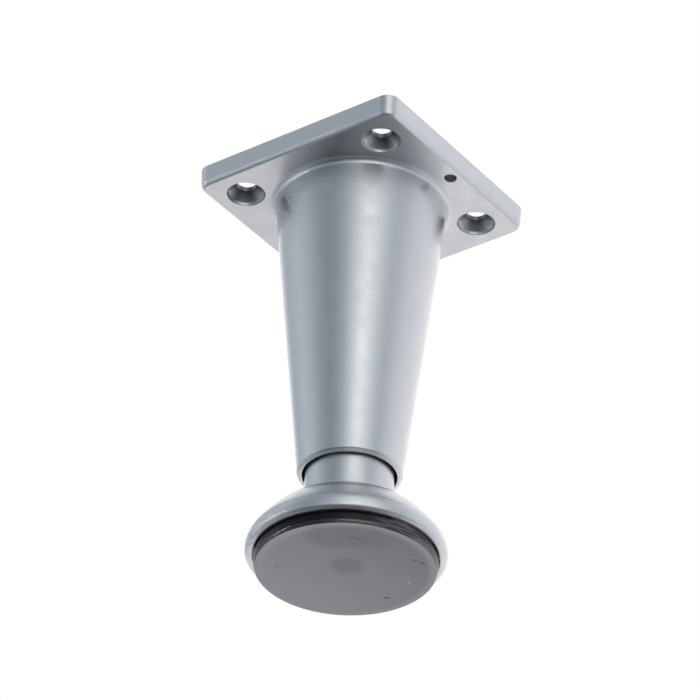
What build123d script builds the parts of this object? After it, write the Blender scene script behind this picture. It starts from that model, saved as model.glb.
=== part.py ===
"""Adjustable cabinet leg, drawn standing on its floor pad.

Millimetres, +Z up. The origin is on the leg's axis at the floor. The plate's sides lie along X and Y.
The foot is drawn turned out by the length of neck that shows, and can be turned further out or fully in.
"""
import math
import os

from build123d import *

# Screw plate
plate_side = 60.6
plate_thickness = 5.7
plate_corner_radius = 3.5
plate_draft = 3.5
plate_edge_round = 1.2
plate_rim = 2.4
plate_recess_depth = 1.6

# Screw holes, for countersunk wood screws put in from below
hole_spacing = 42.0
hole_diameter = 4.8
countersink_diameter = 9.8
countersink_angle = 90.0

# Small blind hole that a core pin leaves near the middle of one side
pin_hole_diameter = 3.1
pin_hole_depth = 3.3
pin_hole_from_edge = 3.5
pin_hole_from_middle = 1.3

# Tapered column
column_length = 80.3
column_top_diameter = 43.8
column_end_diameter = 25.7
column_wall = 2.4
column_root_round = 1.8
column_end_chamfer = 0.55
web_over_nut = 4.6

# Foot: neck, crown, shoulder, flank and rim
neck_diameter = 21.9
neck_shown = 9.2
neck_in_bore = 16.4
neck_top_chamfer = 0.6
rim_diameter = 49.0
rim_widest_height = 4.8
rim_edge_radius = 5.1
rim_band = 0.2
rim_lower_chamfer = 1.4
flank_low_fall = 54.5
flank_high_fall = 42.5
flank_radius = 40.0
shoulder_radius = 6.5
crown_fall = 21.0
foot_wall = 2.4
foot_ledge = 2.5

# Floor pad
pad_diameter = 44.6
pad_thickness = 5.35
pad_edge_chamfer = 0.6
pad_spigot_diameter = 12.0
pad_spigot_length = 4.2
dimple_diameter = 16.0
dimple_depth = 0.35

# Adjusting screw, M10, and the captive nut it turns in
thread_diameter = 10.0
thread_pitch = 1.5
nut_across_flats = 16.0
nut_thickness = 8.4
nut_chamfer_angle = 30.0
screw_end_chamfer = 1.0
screw_floor = 1.0
threads_past_nut = 2

# Travel of the foot from where it is drawn
travel_out = 12.0
travel_in = 8.0

# Clearances
neck_clearance = 0.7
neck_stop_gap = 0.7
pad_side_clearance = 0.2
pad_turn_clearance = 0.05
spigot_end_clearance = 0.3
thread_clearance = 0.05
nut_pocket_clearance = 0.1
screw_way_clearance = 0.6

# Radii
column_top_radius = column_top_diameter / 2
column_end_radius = column_end_diameter / 2
neck_radius = neck_diameter / 2
rim_radius = rim_diameter / 2
pad_radius = pad_diameter / 2
pad_spigot_radius = pad_spigot_diameter / 2
screw_radius = thread_diameter / 2
bore_radius = neck_radius + neck_clearance

# A thread's pitch line lies three eighths of its sharp height inside the nominal radius
thread_flank_angle = 30.0
thread_sharp_height = thread_pitch / (2 * math.tan(math.radians(thread_flank_angle)))
pitch_radius = screw_radius - 3 / 8 * thread_sharp_height


def squarely(start, distance, fall):
    """Point at a distance from another, square to a surface that falls outwards at an angle in degrees."""
    lean = math.radians(fall)
    return (start[0] + distance * math.sin(lean), start[1] + distance * math.cos(lean))


# The foot's outline is three arcs that run into one another, up from the rim's widest line over the
# flank and the shoulder, and a straight crown in to the neck
edge_centre = (rim_radius - rim_edge_radius, rim_widest_height)
edge_end = squarely(edge_centre, rim_edge_radius, flank_low_fall)
flank_centre = squarely(edge_centre, rim_edge_radius - flank_radius, flank_low_fall)
shoulder_centre = squarely(flank_centre, flank_radius - shoulder_radius, flank_high_fall)
shoulder_end = squarely(shoulder_centre, shoulder_radius, crown_fall)
flank_lean = math.radians((flank_low_fall + flank_high_fall) / 2)
crown_lean = math.radians(crown_fall)


def flank_height(radius, inset=0.0):
    """Height of the flank's chord, or of a line that lies inset under it, at a radius."""
    return edge_end[1] + (edge_end[0] - radius) * math.tan(flank_lean) - inset / math.cos(flank_lean)


def crown_height(radius, inset=0.0):
    """Height of the crown's line, or of a line that lies inset under it, at a radius."""
    return shoulder_end[1] + (shoulder_end[0] - radius) * math.tan(crown_lean) - inset / math.cos(crown_lean)


# Heights, from the floor up
rim_bottom = rim_widest_height - rim_band - rim_lower_chamfer
pad_seat = pad_thickness + pad_turn_clearance
spigot_top = pad_thickness + pad_spigot_length
socket_top = spigot_top + spigot_end_clearance
screw_bottom = socket_top + screw_floor
neck_bottom = crown_height(neck_radius)
column_end = neck_bottom + neck_shown
neck_top = column_end + neck_in_bore
web_bottom = neck_top + travel_in + neck_stop_gap
nut_top = web_bottom + nut_thickness
web_top = nut_top + web_over_nut
screw_top = nut_top + travel_out + threads_past_nut * thread_pitch
plate_underside = column_end + column_length
plate_middle = plate_underside + plate_thickness / 2
mounting_face = plate_underside + plate_thickness

column_slope = (column_top_radius - column_end_radius) / column_length


def column_radius(height):
    """Outer radius of the tapered column at a height."""
    return column_end_radius + column_slope * (height - column_end)


def turned(outline):
    """Solid that a closed outline in the XZ plane sweeps round the Z axis."""
    return revolve(Plane.XZ * make_face(outline), Axis.Z)


def cylinder(radius, low, high):
    """Upright cylinder on the axis between two heights."""
    return Pos(0, 0, low) * Cylinder(radius, high - low, align=(Align.CENTER, Align.CENTER, Align.MIN))


def hexagon(across_flats, low, high):
    """Upright hexagonal prism on the axis between two heights."""
    return Pos(0, 0, low) * extrude(RegularPolygon(across_flats / 2, 6, major_radius=False), high - low)


def make_leg():
    """Screw plate and tapered column, cast in one piece."""
    outline = RectangleRounded(plate_side, plate_side, plate_corner_radius)
    plate = extrude(Pos(0, 0, mounting_face) * outline, -plate_thickness, taper=plate_draft)
    plate = fillet(plate.faces().sort_by(Axis.Z)[0].edges(), plate_edge_round)

    column = turned(
        Polyline(
            (0, column_end),
            (column_end_radius, column_end),
            (column_radius(plate_middle), plate_middle),
            (0, plate_middle),
            (0, column_end),
        )
    )
    end_edge = column.edges().filter_by(GeomType.CIRCLE).sort_by(Axis.Z)[0]
    column = chamfer(end_edge, column_end_chamfer)

    # The widest circle on the casting is where the column meets the plate
    leg = plate + column
    root_edge = leg.edges().filter_by(GeomType.CIRCLE).sort_by(SortBy.RADIUS)[-1]
    leg = fillet(root_edge, column_root_round)

    # The mounting side is recessed inside a rim, and the column is cored from it down to the web
    mouth_radius = column_radius(mounting_face)
    rim_inside = plate_side - 2 * plate_rim
    recess_corner = plate_corner_radius - plate_rim
    recess_outline = RectangleRounded(rim_inside, rim_inside, recess_corner) - Circle(mouth_radius)
    recess = extrude(Pos(0, 0, mounting_face) * recess_outline, -plate_recess_depth)
    core = turned(
        Polyline(
            (0, web_top),
            (column_radius(web_top) - column_wall, web_top),
            (mouth_radius - column_wall, mounting_face),
            (0, mounting_face),
            (0, web_top),
        )
    )

    # From below: the neck's bore, the nut's pocket and the screw's way through the web
    bore = cylinder(bore_radius, column_end, web_bottom)
    pocket = hexagon(nut_across_flats + 2 * nut_pocket_clearance, web_bottom, nut_top)
    screw_way = cylinder(screw_radius + screw_way_clearance, nut_top, web_top)
    leg -= [recess, core, bore, pocket, screw_way]

    countersink_depth = (countersink_diameter - hole_diameter) / 2
    countersink_depth /= math.tan(math.radians(countersink_angle / 2))
    for place in GridLocations(hole_spacing, hole_spacing, 2, 2):
        hole = cylinder(hole_diameter / 2, plate_underside, mounting_face)
        sink = Pos(0, 0, plate_underside) * Cone(
            countersink_diameter / 2,
            hole_diameter / 2,
            countersink_depth,
            align=(Align.CENTER, Align.CENTER, Align.MIN),
        )
        leg -= place * (hole + sink)

    pin_hole = cylinder(pin_hole_diameter / 2, plate_underside, plate_underside + pin_hole_depth)
    leg -= Pos(pin_hole_from_middle, pin_hole_from_edge - plate_side / 2, 0) * pin_hole
    return leg


def make_nut():
    """Hexagon nut with both ends chamfered, held up against the pocket's ceiling."""
    corner_radius = nut_across_flats / math.sqrt(3)
    chamfer_drop = (corner_radius - nut_across_flats / 2) * math.tan(math.radians(nut_chamfer_angle))
    ends = turned(
        Polyline(
            (0, web_bottom),
            (nut_across_flats / 2, web_bottom),
            (corner_radius, web_bottom + chamfer_drop),
            (corner_radius, nut_top - chamfer_drop),
            (nut_across_flats / 2, nut_top),
            (0, nut_top),
            (0, web_bottom),
        )
    )
    nut = hexagon(nut_across_flats, web_bottom, nut_top) & ends
    return nut - cylinder(pitch_radius + thread_clearance, web_bottom, nut_top)


def make_screw():
    """Adjusting screw: a plain shank pressed into the foot and the threaded length above it."""
    return turned(
        Polyline(
            (0, screw_bottom),
            (screw_radius, screw_bottom),
            (screw_radius, neck_top),
            (pitch_radius, neck_top),
            (pitch_radius, screw_top - screw_end_chamfer),
            (pitch_radius - screw_end_chamfer, screw_top),
            (0, screw_top),
            (0, screw_bottom),
        )
    )


def make_foot():
    """Neck, domed flange and rim in one piece, cored from below round a hub."""
    pad_recess_radius = pad_radius + pad_side_clearance
    foot = turned(
        [
            Line((neck_radius, neck_bottom), shoulder_end),
            CenterArc(shoulder_centre, shoulder_radius, 90 - flank_high_fall, flank_high_fall - crown_fall),
            CenterArc(flank_centre, flank_radius, 90 - flank_low_fall, flank_low_fall - flank_high_fall),
            CenterArc(edge_centre, rim_edge_radius, 0, 90 - flank_low_fall),
            Polyline(
                (rim_radius, rim_widest_height),
                (rim_radius, rim_bottom + rim_lower_chamfer),
                (rim_radius - rim_lower_chamfer, rim_bottom),
                (pad_recess_radius, rim_bottom),
                (pad_recess_radius, pad_seat),
                (0, pad_seat),
                (0, neck_top),
                (neck_radius - neck_top_chamfer, neck_top),
                (neck_radius, neck_top - neck_top_chamfer),
                (neck_radius, neck_bottom),
            ),
        ]
    )

    # The space under the flank and crown, between the hub and the ledge that the pad seats on
    cored_radius = pad_recess_radius - foot_ledge
    height_over_crown = flank_height(0, foot_wall) - crown_height(0, foot_wall)
    bend_radius = height_over_crown / (math.tan(flank_lean) - math.tan(crown_lean))
    foot -= turned(
        Polyline(
            (neck_radius, pad_seat),
            (cored_radius, pad_seat),
            (cored_radius, flank_height(cored_radius, foot_wall)),
            (bend_radius, flank_height(bend_radius, foot_wall)),
            (neck_radius, crown_height(neck_radius, foot_wall)),
            (neck_radius, pad_seat),
        )
    )

    foot -= cylinder(pad_spigot_radius + pad_turn_clearance, pad_seat, socket_top)
    foot -= cylinder(screw_radius, screw_bottom, neck_top)
    return foot


def make_pad():
    """Round pad with a spigot up into the foot and a shallow dimple under its middle."""
    dimple_radius = dimple_diameter / 2
    return turned(
        [
            Spline((0, dimple_depth), (dimple_radius, 0), tangents=[(1, 0), (1, 0)]),
            Polyline(
                (dimple_radius, 0),
                (pad_radius - pad_edge_chamfer, 0),
                (pad_radius, pad_edge_chamfer),
                (pad_radius, pad_thickness),
                (pad_spigot_radius, pad_thickness),
                (pad_spigot_radius, spigot_top),
                (0, spigot_top),
                (0, dimple_depth),
            ),
        ]
    )


nodes = {
    "leg": make_leg,
    "captive_nut": make_nut,
    "adjusting_screw": make_screw,
    "foot": make_foot,
    "floor_pad": make_pad,
}

os.makedirs("parts", exist_ok=True)
for name, make in nodes.items():
    export_step(make(), f"parts/{name}.step")

print(f"mounting face {mounting_face:.2f}, column end {column_end:.2f}, neck bottom {neck_bottom:.2f}")
print(f"web {web_bottom:.2f} to {web_top:.2f}, screw {screw_bottom:.2f} to {screw_top:.2f}")
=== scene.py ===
import math

import bmesh
import bpy
from mathutils import Matrix, Vector
from mathutils.geometry import delaunay_2d_cdt


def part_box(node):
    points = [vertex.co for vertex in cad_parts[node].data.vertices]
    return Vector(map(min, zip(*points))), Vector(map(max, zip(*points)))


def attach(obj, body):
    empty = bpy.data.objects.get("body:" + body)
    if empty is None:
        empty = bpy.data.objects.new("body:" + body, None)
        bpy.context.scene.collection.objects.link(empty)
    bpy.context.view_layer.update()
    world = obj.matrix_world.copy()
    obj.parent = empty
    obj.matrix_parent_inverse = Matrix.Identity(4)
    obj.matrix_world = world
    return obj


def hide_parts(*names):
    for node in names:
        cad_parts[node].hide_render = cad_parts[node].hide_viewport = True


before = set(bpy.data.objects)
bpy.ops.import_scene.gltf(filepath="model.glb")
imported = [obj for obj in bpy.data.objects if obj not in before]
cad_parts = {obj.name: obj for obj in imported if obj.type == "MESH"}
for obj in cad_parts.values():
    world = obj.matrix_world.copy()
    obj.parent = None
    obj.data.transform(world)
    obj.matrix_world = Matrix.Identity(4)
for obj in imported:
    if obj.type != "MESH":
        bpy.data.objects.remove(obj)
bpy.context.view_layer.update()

mm = 0.001

# Leg: the screw plate and the tapered column are one die casting, sprayed with silver lacquer.
# Its upper side is cored out. Four screws through the plate hold it under a cabinet.
leg_low, leg_high = (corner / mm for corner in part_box("leg"))
plate_half = leg_high.x
mounting_face = leg_high.z
column_end = leg_low.z
column_length = 80.3
plate_underside = column_end + column_length
plate_corner_radius = 3.5
plate_draft = math.radians(3.5)
plate_edge_width = 1.0
plate_edge_height = 2.2
plate_rim = 2.4
plate_recess_depth = 1.6
edge_break = 0.25
core_round = 1.2
screw_hole_place = 21.0
screw_hole_radius = 2.4
countersink_radius = 4.9
pin_hole_place = (1.3, -26.5)
pin_hole_radius = 1.55
pin_hole_depth = 3.3
pin_mouth_break = 0.15
pin_mouth_height = 0.12
pin_draft = 0.05
column_top_radius = 21.9
column_end_radius = 12.85
column_end_chamfer = 0.55
chamfer_upper_break = 0.08
chamfer_lower_break = 0.05
column_root_round = 1.8
column_wall = 2.4
bore_radius = 11.65
bore_edge_round = 0.12
nut_across_flats = 16.0
nut_thickness = 8.4
pocket_clearance = 0.1
nut_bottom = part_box("captive_nut")[0].z / mm
nut_top = nut_bottom + nut_thickness
web_thickness = 4.6
web_top = nut_top + web_thickness
screw_way_radius = 5.6
column_slope = (column_top_radius - column_end_radius) / column_length
column_lean = math.atan(column_slope)
column_sides = 192
hole_sides = 64


def column_radius(height):
    """Outer radius of the taper at a height."""
    return column_end_radius + column_slope * (height - column_end)


def arc(centre, radius, start, end, steps):
    """Points of an arc in a section, from one angle to another in degrees."""
    angles = [math.radians(start + (end - start) * step / steps) for step in range(steps + 1)]
    return [(centre[0] + radius * math.cos(a), centre[1] + radius * math.sin(a)) for a in angles]


def loop(mesh, points):
    """One vertex for each point, given in millimetres."""
    return [mesh.verts.new(Vector(point) * mm) for point in points]


def ring(mesh, radius, height, sides, centre=(0.0, 0.0)):
    """Level ring of vertices, or a single one on the axis."""
    if radius == 0:
        return loop(mesh, [(centre[0], centre[1], height)])
    turns = [2 * math.pi * side / sides for side in range(sides)]
    return loop(
        mesh,
        [(centre[0] + radius * math.cos(t), centre[1] + radius * math.sin(t), height) for t in turns],
    )


def skin(mesh, loops):
    """Faces between loops that follow one another. A loop of one vertex closes the end."""
    for lower, upper in zip(loops, loops[1:]):
        sides = max(len(lower), len(upper))
        for side in range(sides):
            after = (side + 1) % sides
            corners = [lower[side % len(lower)], lower[after % len(lower)]]
            corners += [upper[after % len(upper)], upper[side % len(upper)]]
            mesh.faces.new(list(dict.fromkeys(corners)))


def turn(mesh, section, sides, centre=(0.0, 0.0)):
    """Skin swept round an upright axis by a section of (radius, height) points. Returns its rings."""
    rings = [ring(mesh, radius, height, sides, centre) for radius, height in section]
    skin(mesh, rings)
    return rings


def fill(mesh, outer, holes):
    """Level face between an outer loop and the loops of its holes, which are all convex."""
    loops = [outer] + holes
    corners = [vertex for each in loops for vertex in each]
    loop_of = [number for number, each in enumerate(loops) for vertex in each]
    edges = []
    for each in loops:
        first = len(edges)
        edges += [(first + k, first + (k + 1) % len(each)) for k in range(len(each))]
    flat = [Vector((vertex.co.x, vertex.co.y)) / mm for vertex in corners]
    inside_outline = 1
    same_point = 1e-6
    found = delaunay_2d_cdt(flat, edges, [], inside_outline, same_point)
    for triangle in found[2]:
        given = [found[3][k][0] for k in triangle]
        in_loops = {loop_of[k] for k in given}
        if len(in_loops) > 1 or in_loops == {0}:
            mesh.faces.new([corners[k] for k in given])


def square_loop(mesh, half, height):
    """Loop round the plate, with its corners kept concentric with the plate's own."""
    radius = plate_corner_radius - (plate_half - half)
    middle = half - radius
    points = []
    for quarter, (x, y) in enumerate([(1, 1), (-1, 1), (-1, -1), (1, -1)]):
        for px, py in arc((x * middle, y * middle), radius, 90 * quarter, 90 * quarter + 90, 16):
            points.append((px, py, height))
    return loop(mesh, points)


def finish_piece(name, mesh, material, body, nodes, crease=32):
    """Object from a mesh, with smooth shading that keeps true edges, tied to the part's frame."""
    bmesh.ops.recalc_face_normals(mesh, faces=mesh.faces)
    for face in mesh.faces:
        face.smooth = True
    for edge in mesh.edges:
        edge.smooth = edge.calc_face_angle(0.0) < math.radians(crease)
    data = bpy.data.meshes.new(name)
    mesh.to_mesh(data)
    mesh.free()
    piece = bpy.data.objects.new(name, data)
    bpy.context.scene.collection.objects.link(piece)
    data.materials.append(material)
    weighted = piece.modifiers.new("weighted_normals", "WEIGHTED_NORMAL")
    weighted.keep_sharp = True
    weighted.mode = "FACE_AREA"
    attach(piece, body)
    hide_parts(*nodes)


leg_mesh = bmesh.new()

# From the recess floor over the rim and down the drafted wall to the underside
rim_inside = plate_half - plate_rim
recess_floor = mounting_face - plate_recess_depth
edge_start = plate_underside + plate_edge_height
edge_half = plate_half - (mounting_face - edge_start) * math.tan(plate_draft) - plate_edge_width
plate_section = (
    arc((rim_inside - edge_break, recess_floor + edge_break), edge_break, -90, 0, 4)
    + arc((rim_inside + edge_break, mounting_face - edge_break), edge_break, 180, 90, 4)
    + arc((plate_half - edge_break, mounting_face - edge_break), edge_break, 90, 0, 4)
    + [
        (edge_half + plate_edge_width * x, edge_start + plate_edge_height * z)
        for x, z in arc((0, 0), 1, 0, -90, 20)
    ]
)
plate_loops = [square_loop(leg_mesh, half, height) for half, height in plate_section]
skin(leg_mesh, plate_loops)

# Down the column from its root round, over the end and up the bore to the web
root_height = plate_underside - column_root_round
root_centre = (column_radius(root_height) + column_root_round / math.cos(column_lean), root_height)
lean_degrees = math.degrees(column_lean)
chamfer_top = column_end + column_end_chamfer
chamfer_radius = column_end_radius - column_end_chamfer
column_section = (
    arc(root_centre, column_root_round, 90, 180 - lean_degrees, 14)
    + [(column_radius(chamfer_top + chamfer_upper_break), chamfer_top + chamfer_upper_break)]
    + [(column_end_radius - chamfer_lower_break, chamfer_top - chamfer_lower_break)]
    + [(chamfer_radius + chamfer_lower_break, column_end + chamfer_lower_break)]
    + [(chamfer_radius - chamfer_lower_break, column_end)]
    + arc((bore_radius + bore_edge_round, column_end + bore_edge_round), bore_edge_round, -90, -180, 4)
    + [(bore_radius, nut_bottom)]
)
column_rings = turn(leg_mesh, column_section, column_sides)

# The nut's pocket and the screw's way through the web
pocket_corner = (nut_across_flats / 2 + pocket_clearance) / math.cos(math.radians(30))
pocket_loops = [
    ring(leg_mesh, pocket_corner, nut_bottom, 6),
    ring(leg_mesh, pocket_corner, nut_top, 6),
]
skin(leg_mesh, pocket_loops)
fill(leg_mesh, column_rings[-1], [pocket_loops[0]])
screw_way = turn(leg_mesh, [(screw_way_radius, nut_top), (screw_way_radius, web_top)], hole_sides)
fill(leg_mesh, pocket_loops[1], [screw_way[0]])

# The cored upper part of the column and the ring round its mouth
mouth_radius = column_radius(mounting_face)
core_foot = column_radius(web_top + core_round) - column_wall - core_round
core_section = (
    arc((core_foot, web_top + core_round), core_round, -90, -lean_degrees, 8)
    + arc((mouth_radius - column_wall + edge_break, mounting_face - edge_break), edge_break, 180, 90, 4)
    + arc((mouth_radius - edge_break, mounting_face - edge_break), edge_break, 90, 0, 4)
    + arc((mouth_radius + edge_break, recess_floor + edge_break), edge_break, 180, 270, 4)
)
core_rings = turn(leg_mesh, core_section, column_sides)
fill(leg_mesh, core_rings[0], [screw_way[1]])

# Countersunk screw holes, each with a steep mouth above its cone, and the blind hole that a core pin left
sink_depth = countersink_radius - screw_hole_radius
sink_top = plate_underside + sink_depth
mouth_break = 0.1
mouth_break_height = 0.08
mouth_height = 0.7
mouth_taper = 0.2
throat_round = ((0.25, -0.05), (0.08, 0.05), (0, 0.25))
hole_top_break = 0.15
hole_section = (
    [(countersink_radius + mouth_break, plate_underside)]
    + [(countersink_radius, plate_underside + mouth_break_height)]
    + [(countersink_radius - mouth_taper, plate_underside + mouth_height)]
    + [(countersink_radius - 2 * mouth_taper, plate_underside + mouth_height + mouth_taper)]
    + [(screw_hole_radius + out, sink_top + up) for out, up in throat_round]
    + [(screw_hole_radius, recess_floor - hole_top_break)]
    + [(screw_hole_radius + hole_top_break, recess_floor)]
)
lower_rims = []
upper_rims = []
for x in (-screw_hole_place, screw_hole_place):
    for y in (-screw_hole_place, screw_hole_place):
        hole = turn(leg_mesh, hole_section, hole_sides, (x, y))
        lower_rims.append(hole[0])
        upper_rims.append(hole[-1])
pin_section = [
    (pin_hole_radius + pin_mouth_break, plate_underside),
    (pin_hole_radius, plate_underside + pin_mouth_height),
    (pin_hole_radius - pin_draft, plate_underside + pin_hole_depth),
    (0, plate_underside + pin_hole_depth),
]
pin_hole = turn(leg_mesh, pin_section, 40, pin_hole_place)
fill(leg_mesh, plate_loops[-1], lower_rims + [pin_hole[0], column_rings[0]])
fill(leg_mesh, plate_loops[0], upper_rims + [core_rings[-1]])


def linear(colour):
    """Linear RGBA of an sRGB hex colour."""
    parts = [int(colour[k:k + 2], 16) / 255 for k in (1, 3, 5)]
    return [p / 12.92 if p <= 0.04045 else ((p + 0.055) / 1.055) ** 2.4 for p in parts] + [1.0]


def add(tree, kind, settings=None, **inputs):
    """Adds a node, sets its settings, and sets or links its inputs.

    An underscore in an input's name stands for a space, and _0, _1 and so on are inputs by number.
    """
    made = tree.nodes.new(kind)
    for name, value in (settings or {}).items():
        setattr(made, name, value)
    for name, value in inputs.items():
        socket = made.inputs[int(name[1:])] if name[0] == "_" else made.inputs[name.replace("_", " ")]
        if isinstance(value, bpy.types.NodeSocket):
            tree.links.new(value, socket)
        else:
            socket.default_value = value
    return made


def new_material(name):
    """Material and its node tree, emptied."""
    material = bpy.data.materials.new(name)
    material.use_nodes = True
    tree = material.node_tree
    tree.nodes.clear()
    return material, tree


def on_column(bearing, height):
    """Point on the column's side at a bearing in degrees, from +X towards +Y, and a height."""
    across = column_radius(height)
    return (across * math.cos(math.radians(bearing)), across * math.sin(math.radians(bearing)), height)


def marks(tree, place, strokes):
    """Mask of strokes on a surface, each given by its two ends and its width in millimetres."""
    covered = 0.0
    for start, end, width in strokes:
        along = (Vector(end) - Vector(start)) * mm
        from_start = add(
            tree, "ShaderNodeVectorMath", {"operation": "SUBTRACT"}, _0=place, _1=Vector(start) * mm
        )
        share = add(
            tree,
            "ShaderNodeVectorMath",
            {"operation": "DOT_PRODUCT"},
            _0=from_start.outputs["Vector"],
            _1=along / along.length_squared,
        )
        within = add(tree, "ShaderNodeClamp", Value=share.outputs["Value"])
        nearest = add(
            tree, "ShaderNodeVectorMath", {"operation": "SCALE"}, _0=along, Scale=within.outputs["Result"]
        )
        away = add(
            tree,
            "ShaderNodeVectorMath",
            {"operation": "DISTANCE"},
            _0=from_start.outputs["Vector"],
            _1=nearest.outputs["Vector"],
        )
        inside = add(
            tree,
            "ShaderNodeMapRange",
            Value=away.outputs["Value"],
            From_Min=width / 2 * mm,
            From_Max=width / 5 * mm,
        )
        both = add(tree, "ShaderNodeMath", {"operation": "MAXIMUM"}, _0=covered, _1=inside.outputs["Result"])
        covered = both.outputs["Value"]
    return covered


def wavering(tree, place, start, size, sway):
    """Place nudged to and fro by a noise of some size, so that a stroke drawn there isn't quite straight."""
    uneven = add(tree, "ShaderNodeTexNoise", Vector=place, Scale=1 / (size * mm), Detail=2.0)
    nudged = add(
        tree,
        "ShaderNodeVectorMath",
        {"operation": "MULTIPLY_ADD"},
        _0=uneven.outputs["Color"],
        _1=Vector(sway) * mm,
        _2=start,
    )
    evened = add(
        tree,
        "ShaderNodeVectorMath",
        {"operation": "SUBTRACT"},
        _0=nudged.outputs["Vector"],
        _1=Vector(sway) * mm / 2,
    )
    return evened.outputs["Vector"]


# Silver lacquer: clear acrylic with fine aluminium flakes, sprayed on and stoved.
# It reflects as a blue-grey metal with soft edges, and a faint orange peel breaks up its highlights.
# Real flakes are about 0.03 mm across, and these are drawn four times as coarse so that they show.
flake_size = 0.12
orange_peel_size = 1.6
smudge_size = 5.0
lacquer, tree = new_material("silver_lacquer")
place = add(tree, "ShaderNodeTexCoord").outputs["Object"]
place_parts = add(tree, "ShaderNodeSeparateXYZ", Vector=place)
flakes = add(tree, "ShaderNodeTexNoise", Vector=place, Scale=1 / (flake_size * mm), Detail=1.0)
peel = add(tree, "ShaderNodeTexNoise", Vector=place, Scale=1 / (orange_peel_size * mm), Detail=2.0)
flake_tone = add(tree, "ShaderNodeMapRange", Value=flakes.outputs["Fac"], From_Min=0.3, From_Max=0.7)
flake_colour = add(
    tree,
    "ShaderNodeMix",
    {"data_type": "RGBA"},
    Factor=flake_tone.outputs["Result"],
    _6=linear("#d3d5d6"),
    _7=linear("#dedfe0"),
)

# Painted shade: the lacquer is drawn dark grey towards the screw holes' inner ends.
# All four holes are folded onto one, and the recess floor above them keeps the plain lacquer colour.
hole_shade_fade_start = 0.05
hole_shade_fade_end = 0.15
hole_shade_top_gap = 0.1
folded = add(tree, "ShaderNodeVectorMath", {"operation": "ABSOLUTE"}, _0=place)
from_hole = add(
    tree,
    "ShaderNodeVectorMath",
    {"operation": "MULTIPLY_ADD"},
    _0=folded.outputs["Vector"],
    _1=(1, 1, 0),
    _2=(-screw_hole_place * mm, -screw_hole_place * mm, 0),
)
from_hole_axis = add(tree, "ShaderNodeVectorMath", {"operation": "LENGTH"}, _0=from_hole.outputs["Vector"])
under_recess = add(
    tree,
    "ShaderNodeMapRange",
    Value=place_parts.outputs["Z"],
    From_Min=(recess_floor - hole_shade_top_gap) * mm,
    From_Max=(recess_floor - 2 * hole_shade_top_gap) * mm,
)
within_hole = add(
    tree,
    "ShaderNodeMapRange",
    Value=from_hole_axis.outputs["Value"],
    From_Min=(countersink_radius + hole_shade_fade_start) * mm,
    From_Max=(countersink_radius - hole_shade_fade_end) * mm,
    To_Max=under_recess.outputs["Result"],
)
into_hole = add(
    tree,
    "ShaderNodeMapRange",
    Value=place_parts.outputs["Z"],
    From_Min=plate_underside * mm,
    From_Max=sink_top * mm,
    To_Max=within_hole.outputs["Result"],
)
# Painted shade: dark grey lacquer deep in the screw holes
hole_shade_colour = add(
    tree,
    "ShaderNodeMix",
    {"data_type": "RGBA"},
    Factor=into_hole.outputs["Result"],
    _6=flake_colour.outputs[2],
    _7=linear("#696c70"),
)

# Wear from handling: scratches in the lacquer, and chips along one edge of the mounting side
stroke_wave = 0.8
stroke_sway = (0.5, 0.5, 0.5)
chip_inset = 0.1
worn_place = wavering(tree, place, place, stroke_wave, stroke_sway)
edge_of_wall = -plate_half + chip_inset
scratches = marks(
    tree,
    worn_place,
    [
        ((9.5, -28.7, plate_underside), (12.2, -29.3, plate_underside + 0.3), 0.5),
        ((12.2, -29.3, plate_underside + 0.3), (13.5, -29.5, plate_underside + 0.8), 0.4),
        (on_column(152.5, 103.5), on_column(159.4, 99.0), 0.5),
        (on_column(159.4, 99.0), on_column(167.7, 94.6), 0.4),
    ],
)
chips = marks(
    tree,
    worn_place,
    [
        ((edge_of_wall, -3.0, mounting_face), (edge_of_wall, -1.2, mounting_face), 1.0),
        ((edge_of_wall, -0.2, mounting_face), (edge_of_wall, 1.6, mounting_face), 1.2),
        ((edge_of_wall, 3.2, mounting_face), (edge_of_wall, 6.5, mounting_face), 1.1),
    ],
)

# Fine scratches round the foot's rim, in one worn stretch of it. The rim is unrolled on a much smaller radius
# than its own, which draws the noise out along it. Bearings are in radians from +X towards +Y.
worn_bearing = 2.65
worn_span = 0.32
worn_span_core = 0.2
worn_height = 9.5
worn_height_core = 8.5
unrolled_radius = 4.0
scratch_size = 0.5
rim_bearing = add(
    tree,
    "ShaderNodeMath",
    {"operation": "ARCTAN2"},
    _0=place_parts.outputs["Y"],
    _1=place_parts.outputs["X"],
)
round_rim = add(
    tree,
    "ShaderNodeMath",
    {"operation": "MULTIPLY"},
    _0=rim_bearing.outputs["Value"],
    _1=unrolled_radius * mm,
)
unrolled = add(tree, "ShaderNodeCombineXYZ", X=round_rim.outputs["Value"], Y=place_parts.outputs["Z"])
fine_lines = add(
    tree, "ShaderNodeTexNoise", Vector=unrolled.outputs["Vector"], Scale=1 / (scratch_size * mm), Detail=1.0
)
from_worn = add(
    tree, "ShaderNodeMath", {"operation": "SUBTRACT"}, _0=rim_bearing.outputs["Value"], _1=worn_bearing
)
off_worn = add(tree, "ShaderNodeMath", {"operation": "ABSOLUTE"}, _0=from_worn.outputs["Value"])
in_stretch = add(
    tree, "ShaderNodeMapRange", Value=off_worn.outputs["Value"], From_Min=worn_span, From_Max=worn_span_core
)
low_down = add(
    tree,
    "ShaderNodeMapRange",
    Value=place_parts.outputs["Z"],
    From_Min=worn_height * mm,
    From_Max=worn_height_core * mm,
    To_Max=in_stretch.outputs["Result"],
)
rim_scratches = add(
    tree,
    "ShaderNodeMapRange",
    Value=fine_lines.outputs["Fac"],
    From_Min=0.52,
    From_Max=0.6,
    To_Max=low_down.outputs["Result"],
)
scratches = add(
    tree, "ShaderNodeMath", {"operation": "MAXIMUM"}, _0=scratches, _1=rim_scratches.outputs["Result"]
).outputs["Value"]

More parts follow.
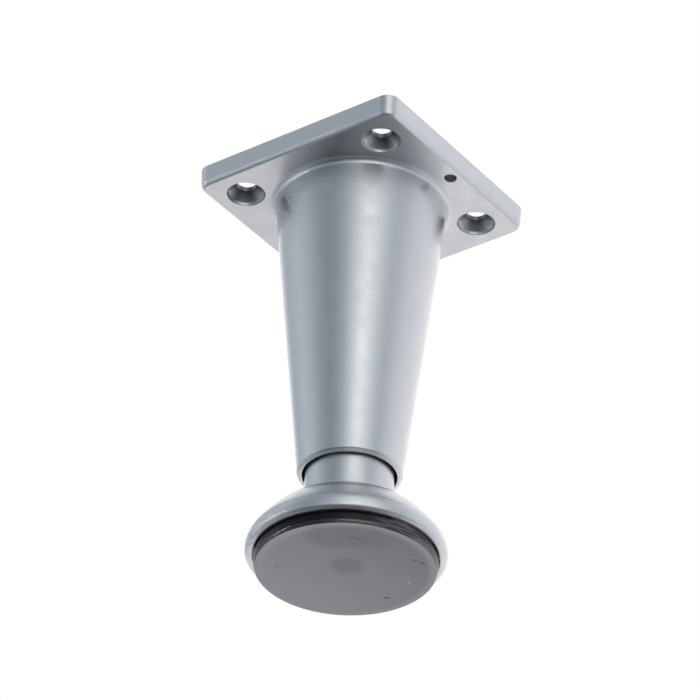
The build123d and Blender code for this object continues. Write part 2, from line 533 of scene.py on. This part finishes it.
# Finger smudges dull the gloss unevenly, and a chip has lost its clear coat
smudges = add(tree, "ShaderNodeTexNoise", Vector=place, Scale=1 / (smudge_size * mm), Detail=4.0)
smudged = add(
    tree,
    "ShaderNodeMapRange",
    Value=smudges.outputs["Fac"],
    From_Min=0.35,
    From_Max=0.7,
    To_Min=0.32,
    To_Max=0.42,
)
scratched = add(tree, "ShaderNodeMapRange", Value=scratches, To_Min=smudged.outputs["Result"], To_Max=0.6)
worn_roughness = add(tree, "ShaderNodeMapRange", Value=chips, To_Min=scratched.outputs["Result"], To_Max=0.7)
coat_left = add(tree, "ShaderNodeMapRange", Value=chips, To_Min=1.0, To_Max=0.0)
scratched_colour = add(
    tree,
    "ShaderNodeMix",
    {"data_type": "RGBA"},
    Factor=scratches,
    _6=hole_shade_colour.outputs[2],
    _7=linear("#f6f6f8"),
)
worn_colour = add(
    tree,
    "ShaderNodeMix",
    {"data_type": "RGBA"},
    Factor=chips,
    _6=scratched_colour.outputs[2],
    _7=linear("#fafafa"),
)
wear_bump = add(tree, "ShaderNodeBump", {"invert": True}, Height=scratches, Strength=1.0, Distance=0.06 * mm)
flake_bump = add(
    tree,
    "ShaderNodeBump",
    Height=flakes.outputs["Fac"],
    Normal=wear_bump.outputs["Normal"],
    Strength=0.004,
    Distance=0.02 * mm,
)
peel_bump = add(
    tree,
    "ShaderNodeBump",
    Height=peel.outputs["Fac"],
    Normal=flake_bump.outputs["Normal"],
    Strength=0.06,
    Distance=0.02 * mm,
)
shader = add(
    tree,
    "ShaderNodeBsdfPrincipled",
    Base_Color=worn_colour.outputs[2],
    Metallic=1.0,
    Roughness=worn_roughness.outputs["Result"],
    Coat_Weight=coat_left.outputs["Result"],
    Coat_Roughness=0.08,
    Normal=peel_bump.outputs["Normal"],
)
add(tree, "ShaderNodeOutputMaterial", Surface=shader.outputs["BSDF"])

finish_piece("leg_casting", leg_mesh, lacquer, "plate_and_column", ["leg"])

# Captive nut: a pressed steel hexagon nut, zinc plated. It sits in the pocket under the web,
# and the load on the leg holds it up against the pocket's ceiling. Its thread runs with the screw's.
thread_pitch = 1.5
thread_radius = 5.0
thread_sides = 96
levels_per_turn = 12
thread_height = thread_pitch / (2 * math.tan(math.radians(30)))
crest_share = 1 / 8
root_share = 5 / 8
thread_play = 0.06
nut_mouth_chamfer = 0.3
nut_chamfer_slope = math.tan(math.radians(30))
nut_face_break = 0.02


def thread_depth(height, turn_share):
    """Depth of a right-hand thread below its crest, with flat crests and roots."""
    along = (height / thread_pitch - turn_share) % 1.0
    from_crest = abs(along - 0.5) * 2
    return min(max(from_crest - crest_share, 0) * thread_height, root_share * thread_height)


def threaded_ring(mesh, radius_at, height):
    """Ring whose radius follows the thread at a height."""
    points = []
    for side in range(thread_sides):
        share = side / thread_sides
        radius = radius_at(height, share)
        angle = 2 * math.pi * share
        points.append((radius * math.cos(angle), radius * math.sin(angle), height))
    return loop(mesh, points)


def nut_thread(height, share):
    """The nut's thread, with a chamfered way in at each end."""
    from_end = min(height - nut_bottom, nut_top - height)
    cut = thread_radius + thread_play + nut_mouth_chamfer - from_end
    return max(thread_radius + thread_play - thread_depth(height, share), cut)


nut_mesh = bmesh.new()
nut_levels = round(nut_thickness / thread_pitch * levels_per_turn)
nut_rings = [
    threaded_ring(nut_mesh, nut_thread, nut_bottom + nut_thickness * level / nut_levels)
    for level in range(nut_levels + 1)
]
skin(nut_mesh, nut_rings)


def hexagon_radius(share):
    """Distance from the axis to the nut's flats in a direction."""
    turned = (share * 360 + 30) % 60 - 30
    return nut_across_flats / 2 / math.cos(math.radians(turned))


outside = []
for face_height, way in ((nut_bottom, 1), (nut_top, -1)):
    outside.append(threaded_ring(nut_mesh, lambda height, share: nut_across_flats / 2, face_height))
    chamfered = []
    for side in range(thread_sides):
        share = side / thread_sides
        radius = hexagon_radius(share + 1 / 12)
        drop = (radius - nut_across_flats / 2) * nut_chamfer_slope + nut_face_break
        angle = 2 * math.pi * share
        chamfered.append((radius * math.cos(angle), radius * math.sin(angle), face_height + way * drop))
    outside.append(loop(nut_mesh, chamfered))
skin(nut_mesh, [nut_rings[0], outside[0], outside[1], outside[3], outside[2], nut_rings[-1]])

# Zinc plate, bright, over pressed and rolled steel: a metal that shifts from a faint blue to a faint yellow,
# with a fine uneven grain. The real grain is too fine to show, and is drawn coarser.
plate_grain = 0.4
tint_size = 6.0
zinc, tree = new_material("zinc_plate")
place = add(tree, "ShaderNodeTexCoord").outputs["Object"]
grain = add(tree, "ShaderNodeTexNoise", Vector=place, Scale=1 / (plate_grain * mm), Detail=3.0)
tint = add(tree, "ShaderNodeTexNoise", Vector=place, Scale=1 / (tint_size * mm), Detail=1.0)
zinc_colour = add(
    tree,
    "ShaderNodeMix",
    {"data_type": "RGBA"},
    Factor=tint.outputs["Fac"],
    _6=linear("#c3c8cc"),
    _7=linear("#d3d2c9"),
)
zinc_bump = add(tree, "ShaderNodeBump", Height=grain.outputs["Fac"], Strength=0.2, Distance=0.02 * mm)
shader = add(
    tree,
    "ShaderNodeBsdfPrincipled",
    Base_Color=zinc_colour.outputs[2],
    Metallic=1.0,
    Roughness=0.3,
    Normal=zinc_bump.outputs["Normal"],
)
add(tree, "ShaderNodeOutputMaterial", Surface=shader.outputs["BSDF"])

finish_piece("hexagon_nut", nut_mesh, zinc, "plate_and_column", ["captive_nut"])

# Adjusting screw: a steel rod with a rolled thread, zinc plated like the nut.
# Its plain lower end is pressed into the foot, and its thread runs up through the nut.
screw_low, screw_high = (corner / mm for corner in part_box("adjusting_screw"))
foot_low, foot_high = (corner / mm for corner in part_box("foot"))
neck_top = foot_high.z
screw_chamfer = 1.2


def screw_thread(height, share):
    """The screw's thread, run out into the shank below and chamfered at the top."""
    run_out = (height - neck_top) / thread_pitch
    depth = thread_depth(height, share) * min(max(run_out, 0), 1)
    cut = max(screw_chamfer - (screw_high.z - height), 0)
    return min(thread_radius - depth, thread_radius - cut)


screw_mesh = bmesh.new()
screw_rings = turn(screw_mesh, [(0, screw_low.z), (thread_radius, screw_low.z)], thread_sides)
screw_levels = round((screw_high.z - neck_top) / thread_pitch * levels_per_turn)
screw_rings += [
    threaded_ring(screw_mesh, screw_thread, neck_top + (screw_high.z - neck_top) * level / screw_levels)
    for level in range(screw_levels + 1)
]
screw_rings += [ring(screw_mesh, 0, screw_high.z, thread_sides)]
skin(screw_mesh, screw_rings[1:])
finish_piece("threaded_rod", screw_mesh, zinc, "foot_and_screw", ["adjusting_screw"])

# Foot: the neck and the domed flange are one casting in the same lacquer, cored from below.
# The neck slides in the column's bore, and turning the flange by hand sets the height.
rim_radius = foot_high.x
neck_radius = 10.95
neck_chamfer = 0.6
rim_widest_height = 4.8
rim_edge_radius = 5.1
rim_lower_round = 1.4
flank_low_fall = 54.5
flank_high_fall = 42.5
flank_radius = 40.0
shoulder_radius = 6.5
crown_fall = 21.0
foot_wall = 2.4
foot_ledge = 2.5
pad_recess_radius = 22.5
pad_seat = 5.4
spigot_socket_radius = 6.05
spigot_socket_top = 9.85
recess_edge_round = 0.2
rim_bottom = foot_low.z


def squarely(start, distance, fall):
    """Point at a distance from another, square to a surface that falls outwards at an angle in degrees."""
    lean = math.radians(fall)
    return (start[0] + distance * math.sin(lean), start[1] + distance * math.cos(lean))


edge_centre = (rim_radius - rim_edge_radius, rim_widest_height)
edge_end = squarely(edge_centre, rim_edge_radius, flank_low_fall)
flank_centre = squarely(edge_centre, rim_edge_radius - flank_radius, flank_low_fall)
shoulder_centre = squarely(flank_centre, flank_radius - shoulder_radius, flank_high_fall)
crown_start = squarely(shoulder_centre, shoulder_radius, crown_fall)
flank_lean = math.radians((flank_low_fall + flank_high_fall) / 2)
crown_lean = math.radians(crown_fall)


def flank_height(radius, inset=0.0):
    """Height of the flank's chord, or of a line inset under it, at a distance from the axis."""
    return edge_end[1] + (edge_end[0] - radius) * math.tan(flank_lean) - inset / math.cos(flank_lean)


def crown_height(radius, inset=0.0):
    """Height of the crown's line, or of a line inset under it, at a distance from the axis."""
    return crown_start[1] + (crown_start[0] - radius) * math.tan(crown_lean) - inset / math.cos(crown_lean)


cored_radius = pad_recess_radius - foot_ledge
height_over_crown = flank_height(0, foot_wall) - crown_height(0, foot_wall)
bend_radius = height_over_crown / (math.tan(flank_lean) - math.tan(crown_lean))
recess_edge = (pad_recess_radius + recess_edge_round, rim_bottom + recess_edge_round)
foot_section = (
    [(0, spigot_socket_top), (spigot_socket_radius, spigot_socket_top), (spigot_socket_radius, pad_seat)]
    + [(neck_radius, pad_seat), (neck_radius, crown_height(neck_radius, foot_wall))]
    + [(radius, flank_height(radius, foot_wall)) for radius in (bend_radius, cored_radius)]
    + [(cored_radius, pad_seat), (pad_recess_radius, pad_seat)]
    + arc(recess_edge, recess_edge_round, 180, 270, 4)
    + arc((rim_radius - rim_lower_round, rim_bottom + rim_lower_round), rim_lower_round, -90, 0, 12)
    + arc(edge_centre, rim_edge_radius, 0, 90 - flank_low_fall, 20)
    + arc(flank_centre, flank_radius, 90 - flank_low_fall, 90 - flank_high_fall, 12)[1:]
    + arc(shoulder_centre, shoulder_radius, 90 - flank_high_fall, 90 - crown_fall, 14)[1:]
    + [(neck_radius, crown_height(neck_radius))]
    + [(neck_radius, neck_top - neck_chamfer), (neck_radius - neck_chamfer, neck_top)]
    + [(thread_radius, neck_top), (thread_radius, screw_low.z), (0, screw_low.z)]
)
foot_mesh = bmesh.new()
turn(foot_mesh, foot_section, column_sides)
finish_piece("domed_foot", foot_mesh, lacquer, "foot_and_screw", ["foot"])

# Floor pad: a black moulded disc let into the foot, with a spigot that the foot turns on.
# Its side keeps the mould's gloss, and its floor face is dulled and grey, with a shallow dimple.
pad_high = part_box("floor_pad")[1] / mm
pad_radius = pad_high.x
pad_thickness = 5.35
pad_edge_round = 0.5
pad_edge_bands = ((19.25, 0.45), (28, 0.3))
band_corner_break = 0.02
eased_width = 2.4
eased_rise = 0.12
pad_top_round = 0.2
pad_spigot_radius = 6.0
dimple_flat = 1.5
dimple_radius = 5.5
dimple_depth = 0.35
bead_width = 3.0
bead_height = 0.12


def eased_steps(start, end, steps):
    """Points of an eased slope in a section, from one point to another, without the first."""
    shares = [(step / steps, (1 - math.cos(math.pi * step / steps)) / 2) for step in range(1, steps + 1)]
    return [(start[0] + (end[0] - start[0]) * x, start[1] + (end[1] - start[1]) * z) for x, z in shares]


# The dimple has a flat middle and a low bead round it, which the rest of the face falls back from
bead_end = (dimple_radius + bead_width, bead_height)
dimple = (
    [(0, dimple_depth), (dimple_flat, dimple_depth)]
    + eased_steps((dimple_flat, dimple_depth), (dimple_radius, 0), 16)
    + eased_steps((dimple_radius, 0), bead_end, 12)
)

# The side ends below in two narrow bands, each leaning further in than the one above. Each is given by its
# lean in degrees and its height. The face's outer ring is eased up to them.
band_breadth = sum(tall * math.tan(math.radians(lean)) for lean, tall in pad_edge_bands)
last_lean = pad_edge_bands[-1][0]
band_end = pad_radius - band_breadth
round_centre = band_end - pad_edge_round * math.cos(math.radians(last_lean))
band_edge = pad_edge_round * (1 - math.sin(math.radians(last_lean))) + eased_rise
pad_bands = []
band_radius = band_end
for lean, tall in reversed(pad_edge_bands):
    outward = math.tan(math.radians(lean))
    pad_bands.append((band_radius + band_corner_break * outward, band_edge + band_corner_break))
    band_edge += tall
    band_radius += tall * outward
    pad_bands.append((band_radius - band_corner_break * outward, band_edge - band_corner_break))
flat_end = round_centre - eased_width
pad_section = (
    dimple
    + [(flat_end + (bead_end[0] - flat_end) * k / 8, bead_height * k / 8) for k in range(7, -1, -1)]
    + [(flat_end + eased_width * k / 12, eased_rise * (k / 12) ** 2) for k in range(1, 12)]
    + arc((round_centre, pad_edge_round + eased_rise), pad_edge_round, -84, -last_lean, 8)
    + pad_bands
    + [(pad_radius, band_edge + band_corner_break)]
    + arc((pad_radius - pad_top_round, pad_thickness - pad_top_round), pad_top_round, 0, 90, 3)
    + [(pad_spigot_radius, pad_thickness), (pad_spigot_radius, pad_high.z), (0, pad_high.z)]
)
pad_mesh = bmesh.new()
turn(pad_mesh, pad_section, column_sides)

# Black nylon, moulded: glossy at the side, rubbed dull and grey where it stands on the floor.
# The face's grit is drawn coarser than the real one so that it shows.
grit_size = 0.25
cloud_size = 9.0
face_reach = 0.4
face_fade = 0.2
worn_lit_edge_width = 1.8
lit_side_way = (0.15, 0.99, 0)
dimple_shade_centre = (-1.6, -1.5, 0)
nylon, tree = new_material("black_nylon")
place = add(tree, "ShaderNodeTexCoord").outputs["Object"]
flat_place = add(tree, "ShaderNodeVectorMath", {"operation": "MULTIPLY"}, _0=place, _1=(1, 1, 0))
from_axis = add(tree, "ShaderNodeVectorMath", {"operation": "LENGTH"}, _0=flat_place.outputs["Vector"])
on_face = add(
    tree,
    "ShaderNodeMapRange",
    Value=from_axis.outputs["Value"],
    From_Min=(round_centre + face_reach) * mm,
    From_Max=(round_centre + face_reach - face_fade) * mm,
).outputs["Result"]

# The face is greyed unevenly in a random cloud. Painted light makes it paler towards +Y, painted light and
# wear make it paler along its edge, and painted shade darkens the dimple's middle
cloud = add(tree, "ShaderNodeTexNoise", Vector=place, Scale=1 / (cloud_size * mm), Detail=3.0)
# Painted light: the face turns paler towards +Y
across = add(tree, "ShaderNodeVectorMath", {"operation": "DOT_PRODUCT"}, _0=place, _1=lit_side_way)
lit_side_tone = add(
    tree,
    "ShaderNodeMapRange",
    Value=across.outputs["Value"],
    From_Min=-pad_radius * mm,
    From_Max=pad_radius * mm,
    To_Min=-0.2,
    To_Max=0.8,
)
lit_side_and_cloud = add(
    tree,
    "ShaderNodeMath",
    {"operation": "MULTIPLY_ADD"},
    _0=cloud.outputs["Fac"],
    _1=0.4,
    _2=lit_side_tone.outputs["Result"],
)
# Paler along the face's eased edge: wear there, and a painted highlight where the edge turns up
worn_and_lit_edge = add(
    tree,
    "ShaderNodeMapRange",
    Value=from_axis.outputs["Value"],
    From_Min=(round_centre - worn_lit_edge_width) * mm,
    From_Max=round_centre * mm,
    To_Max=1.0,
)
# Painted shade: the dimple's middle is darker, the dark set off towards -X and -Y
from_core = add(
    tree,
    "ShaderNodeVectorMath",
    {"operation": "DISTANCE"},
    _0=flat_place.outputs["Vector"],
    _1=Vector(dimple_shade_centre) * mm,
)
dimple_shade = add(
    tree,
    "ShaderNodeMapRange",
    {"interpolation_type": "SMOOTHSTEP"},
    Value=from_core.outputs["Value"],
    From_Min=0.2 * dimple_radius * mm,
    From_Max=dimple_radius * mm,
    To_Min=-0.8,
    To_Max=0.0,
)
edge_light_and_dimple_shade = add(
    tree,
    "ShaderNodeMath",
    {"operation": "ADD"},
    _0=worn_and_lit_edge.outputs["Result"],
    _1=dimple_shade.outputs["Result"],
)
face_tone_and_light = add(
    tree,
    "ShaderNodeMath",
    {"operation": "ADD", "use_clamp": True},
    _0=lit_side_and_cloud.outputs["Value"],
    _1=edge_light_and_dimple_shade.outputs["Value"],
)
face_colour = add(
    tree,
    "ShaderNodeMix",
    {"data_type": "RGBA"},
    Factor=face_tone_and_light.outputs["Value"],
    _6=linear("#79747b"),
    _7=linear("#9c979e"),
)

# Marks on the face: a nick, two short strokes, a faint smear and two specks, and a broad patch of painted
# shade
mark_wave = 0.6
mark_sway = (0.6, 0.6, 0)
worn_place = wavering(tree, place, flat_place.outputs["Vector"], mark_wave, mark_sway)
nicks = marks(
    tree,
    worn_place,
    [
        ((15.5, -0.6, 0), (16.3, -1.5, 0), 0.9),
        ((4.4, -16.7, 0), (5.4, -17.1, 0), 0.6),
        ((6.4, -17.4, 0), (7.4, -17.9, 0), 0.7),
        ((-10.3, 12.7, 0), (-10.2, 12.9, 0), 0.6),
    ],
)
smears = marks(tree, worn_place, [((-12.1, -10.3, 0), (-9.2, -11.5, 0), 1.6)])
# Painted shade: a broad darker patch on the face towards -X and -Y
near_side_shade = marks(tree, worn_place, [((-15.5, -5.5, 0), (-9.0, -14.0, 0), 13.0)])
near_side_shade_share = add(tree, "ShaderNodeMath", {"operation": "MULTIPLY"}, _0=near_side_shade, _1=0.6)
near_side_shaded_colour = add(
    tree,
    "ShaderNodeMix",
    {"data_type": "RGBA"},
    Factor=near_side_shade_share.outputs["Value"],
    _6=face_colour.outputs[2],
    _7=linear("#686469"),
)
pale_specks = marks(tree, worn_place, [((12.8, -9.6, 0), (12.9, -9.8, 0), 0.6)])
smeared_colour = add(
    tree,
    "ShaderNodeMix",
    {"data_type": "RGBA"},
    Factor=smears,
    _6=near_side_shaded_colour.outputs[2],
    _7=linear("#646166"),
)
specked_colour = add(
    tree,
    "ShaderNodeMix",
    {"data_type": "RGBA"},
    Factor=pale_specks,
    _6=smeared_colour.outputs[2],
    _7=linear("#d8d5da"),
)
nicked_colour = add(
    tree,
    "ShaderNodeMix",
    {"data_type": "RGBA"},
    Factor=nicks,
    _6=specked_colour.outputs[2],
    _7=linear("#1c1b1e"),
)

# Scuffs on the side, in streaks round it, where it faces -Y. Their paler grey is also painted light, for
# light falling on that side
streak_size = 1.2
streak_stretch = (0.2, 0.2, 2.5)
side_scuff_light_start = -17.0
side_scuff_light_full = -20.0
place_parts = add(tree, "ShaderNodeSeparateXYZ", Vector=place)
stretched = add(tree, "ShaderNodeVectorMath", {"operation": "MULTIPLY"}, _0=place, _1=streak_stretch)
streaks = add(
    tree,
    "ShaderNodeTexNoise",
    Vector=stretched.outputs["Vector"],
    Scale=1 / (streak_size * mm),
    Detail=3.0,
)
scuffed_and_lit_side = add(
    tree,
    "ShaderNodeMapRange",
    Value=place_parts.outputs["Y"],
    From_Min=side_scuff_light_start * mm,
    From_Max=side_scuff_light_full * mm,
)
scuffs_and_side_light = add(
    tree,
    "ShaderNodeMapRange",
    Value=streaks.outputs["Fac"],
    From_Min=0.42,
    From_Max=0.65,
    To_Max=scuffed_and_lit_side.outputs["Result"],
)
side_colour = add(
    tree,
    "ShaderNodeMix",
    {"data_type": "RGBA"},
    Factor=scuffs_and_side_light.outputs["Result"],
    _6=linear("#08080a"),
    _7=linear("#565459"),
)
pad_colour = add(
    tree,
    "ShaderNodeMix",
    {"data_type": "RGBA"},
    Factor=on_face,
    _6=side_colour.outputs[2],
    _7=nicked_colour.outputs[2],
)
pad_roughness = add(tree, "ShaderNodeMapRange", Value=on_face, To_Min=0.09, To_Max=0.5)

# The side is duller than its lower edge, which handling has burnished
burnish_fade = 0.1
burnished = add(
    tree,
    "ShaderNodeMapRange",
    Value=place_parts.outputs["Z"],
    From_Min=(band_edge + burnish_fade) * mm,
    From_Max=(band_edge - burnish_fade) * mm,
    To_Min=0.22,
    To_Max=0.9,
)
grit = add(tree, "ShaderNodeTexNoise", Vector=place, Scale=1 / (grit_size * mm), Detail=2.0)
grit_strength = add(tree, "ShaderNodeMath", {"operation": "MULTIPLY"}, _0=on_face, _1=0.2)
grit_bump = add(
    tree,
    "ShaderNodeBump",
    Height=grit.outputs["Fac"],
    Strength=grit_strength.outputs["Value"],
    Distance=0.02 * mm,
)
shader = add(
    tree,
    "ShaderNodeBsdfPrincipled",
    Base_Color=pad_colour.outputs[2],
    Roughness=pad_roughness.outputs["Result"],
    Specular_IOR_Level=burnished.outputs["Result"],
    IOR=1.53,
    Normal=grit_bump.outputs["Normal"],
)
add(tree, "ShaderNodeOutputMaterial", Surface=shader.outputs["BSDF"])
finish_piece("round_pad", pad_mesh, nylon, "pad", ["floor_pad"])

# Floor: a pale sheet that takes the shadow, where the pad stands when the foot is screwed right out.
# It is seen from above only, because the photograph looks up at the leg from below the floor.
floor_half = 3000.0
foot_reach = 12.0
floor_gap = 0.15
floor_height = -foot_reach - floor_gap
floor_mesh = bmesh.new()
floor_signs = ((-1, -1), (1, -1), (1, 1), (-1, 1))
floor_corners = [(x * floor_half, y * floor_half, floor_height) for x, y in floor_signs]
floor_mesh.faces.new(loop(floor_mesh, floor_corners))
floor_data = bpy.data.meshes.new("floor")
floor_mesh.to_mesh(floor_data)
floor_mesh.free()
floor = bpy.data.objects.new("floor", floor_data)
bpy.context.scene.collection.objects.link(floor)
floor.visible_shadow = False
floor.visible_diffuse = False
floor.visible_glossy = False

# Pale paper: matt and nearly white, and clear from its back, so that the floor hides nothing from below
paper, tree = new_material("pale_paper")
geometry = add(tree, "ShaderNodeNewGeometry")
matt = add(tree, "ShaderNodeBsdfDiffuse", Color=linear("#f2f2f2"))
clear = add(tree, "ShaderNodeBsdfTransparent")
one_sided = add(
    tree,
    "ShaderNodeMixShader",
    _0=geometry.outputs["Backfacing"],
    _1=matt.outputs["BSDF"],
    _2=clear.outputs["BSDF"],
)
add(tree, "ShaderNodeOutputMaterial", Surface=one_sided.outputs["Shader"])
floor_data.materials.append(paper)

# Camera: below the leg and in front of one corner of the plate, as in the photograph. Its focal length is in
# pixels of the picture. The aim is a point on the leg's axis, which is drawn a little right of the picture's
# middle and below it.
image_size = 700
focal_pixels = 3938.7
sensor_width = 36.0
camera_bearing = math.radians(37.02)
camera_rise = math.radians(33.61)
camera_roll = math.radians(-2.6)
camera_distance = 975.02
aim = Vector((0, 0, 56.67))
aim_right = 1.03
aim_down = 5.75
forward = Vector(
    (
        math.cos(camera_rise) * math.cos(camera_bearing),
        math.cos(camera_rise) * math.sin(camera_bearing),
        math.sin(camera_rise),
    )
)
level_right = Vector((math.sin(camera_bearing), -math.cos(camera_bearing), 0))
level_down = forward.cross(level_right)
right = math.cos(camera_roll) * level_right + math.sin(camera_roll) * level_down
down = math.cos(camera_roll) * level_down - math.sin(camera_roll) * level_right
eye = aim - aim_right * right - aim_down * down - camera_distance * forward
turned = Matrix((right, -down, -forward)).transposed().to_4x4()
lens = bpy.data.cameras.new("camera")
lens.sensor_width = sensor_width
lens.lens = focal_pixels / image_size * sensor_width
lens.clip_start = 0.01
lens.clip_end = 20
camera = bpy.data.objects.new("camera", lens)
camera.matrix_world = Matrix.Translation(eye * mm) @ turned
bpy.context.scene.collection.objects.link(camera)
bpy.context.scene.camera = camera

# Light: a studio with a white background for the camera, and for every other ray the tones that the lacquer
# mirrors. They are given by bearing from the camera's side, with the picture's right positive: one set above
# the horizon, which is white behind the leg, one set for low down, and a dark bottom and a grey ceiling.
world = bpy.data.worlds.new("studio")
bpy.context.scene.world = world
world.use_nodes = True
tree = world.node_tree
tree.nodes.clear()
way = add(tree, "ShaderNodeTexCoord").outputs["Generated"]
parts = add(tree, "ShaderNodeSeparateXYZ", Vector=way)
bearing = add(tree, "ShaderNodeMath", {"operation": "ARCTAN2"}, _0=parts.outputs["Y"], _1=parts.outputs["X"])
turned_by = add(tree, "ShaderNodeMath", {"operation": "SUBTRACT"}, _0=bearing.outputs[0], _1=camera_bearing)
share = add(tree, "ShaderNodeMath", {"operation": "DIVIDE"}, _0=turned_by.outputs[0], _1=2 * math.pi)
round_share = add(tree, "ShaderNodeMath", {"operation": "FRACT"}, _0=share.outputs[0])
upper_tones = {
    -180: "#fcfdff",
    -160: "#f9fbff",
    -149: "#d5dbe2",
    -137: "#afb6be",
    -122: "#b6bec6",
    -102: "#c9d2da",
    -78: "#b6bec5",
    -60: "#929ca5",
    -38: "#86919a",
    -18: "#aab4bc",
    -8: "#d4dce3",
    1: "#fdffff",
    21: "#fdffff",
    33: "#d9e2e9",
    45: "#b2b9c0",
    56: "#babfc6",
    78: "#dce0e8",
    102: "#ebedf2",
    126: "#f4f4f9",
    150: "#fefefe",
}
lower_tones = {
    -180: "#d3d2d9",
    -160: "#b0b0b8",
    -138: "#8c9099",
    -115: "#93989e",
    -100: "#a4a8ae",
    -86: "#7c8288",
    -72: "#494d53",
    -48: "#404349",
    -18: "#5a5e67",
    18: "#6d747a",
    40: "#7c8085",
    72: "#82848d",
    90: "#b8b8bf",
    105: "#d5d8df",
    140: "#ced0d6",
}
tones = []
for stops in (upper_tones, lower_tones):
    ramp = add(tree, "ShaderNodeValToRGB", _0=round_share.outputs[0])
    tones.append(ramp.outputs["Color"])
    ramp.color_ramp.interpolation = "EASE"
    for degrees, colour in list(stops.items()) + [(180, stops[-180])]:
        stop = ramp.color_ramp.elements.new(0.5 + degrees / 360)
        stop.color = linear(colour)
    ramp.color_ramp.elements.remove(ramp.color_ramp.elements[0])
    ramp.color_ramp.elements.remove(ramp.color_ramp.elements[-1])


def sine(degrees):
    """Height on the unit sphere of a rise above the horizon."""
    return math.sin(math.radians(degrees))


mixed = tones[1]
for tone, start, end in ((tones[0], -42, -20), (linear("#5a5e64"), -54, -74), (linear("#989fa6"), 56, 76)):
    rise = add(
        tree,
        "ShaderNodeMapRange",
        {"interpolation_type": "SMOOTHSTEP"},
        Value=parts.outputs["Z"],
        From_Min=sine(start),
        From_Max=sine(end),
    )
    step = add(tree, "ShaderNodeMix", {"data_type": "RGBA"}, Factor=rise.outputs["Result"], _6=mixed, _7=tone)
    mixed = step.outputs[2]
camera_ray = add(tree, "ShaderNodeLightPath").outputs["Is Camera Ray"]
studio = add(tree, "ShaderNodeBackground", Color=mixed, Strength=1.0)
white = add(tree, "ShaderNodeBackground", Color=linear("#ffffff"), Strength=1.0)
seen = add(
    tree,
    "ShaderNodeMixShader",
    _0=camera_ray,
    _1=studio.outputs["Background"],
    _2=white.outputs["Background"],
)
add(tree, "ShaderNodeOutputWorld", Surface=seen.outputs["Shader"])

# Two strip lamps near the horizon, on the camera's side and at the left, give the long thin glints on the
# rounded edges. A window on the camera's side brightens the middle of the column. A broad soft lamp from
# below lights the pad's face, and is kept out of the reflections.
lamp_distance = 4.0


def hang_lamp(name, bearing, rise, width, height, tilt, brightness):
    """Rectangular lamp that faces the leg, with its place, size and tilt in degrees as seen from there."""
    light = bpy.data.lights.new(name, "AREA")
    light.shape = "RECTANGLE"
    light.size = 2 * lamp_distance * math.tan(math.radians(width / 2))
    light.size_y = 2 * lamp_distance * math.tan(math.radians(height / 2))
    light.energy = brightness * math.pi * light.size * light.size_y
    lamp = bpy.data.objects.new(name, light)
    bpy.context.scene.collection.objects.link(lamp)
    compass = camera_bearing + math.pi + math.radians(bearing)
    level = math.cos(math.radians(rise))
    towards = Vector((level * math.cos(compass), level * math.sin(compass), sine(rise)))
    lamp.matrix_world = towards.to_track_quat("Z", "Y").to_matrix().to_4x4() @ Matrix.Rotation(
        math.radians(tilt), 4, "Z"
    )
    lamp.location = aim * mm + towards * lamp_distance
    return lamp


hang_lamp("front_strip", 10, -8, 42, 0.7, 0, 7.0)
hang_lamp("left_strip", -87, 2, 36, 1.2, 13, 10.0)
hang_lamp("front_window", 11, 18, 14, 14, 0, 0.5)
below = hang_lamp("low_soft_lamp", -10, -14, 40, 14, 0, 18.0)
below.visible_glossy = False

bpy.context.scene.view_settings.view_transform = "Standard"
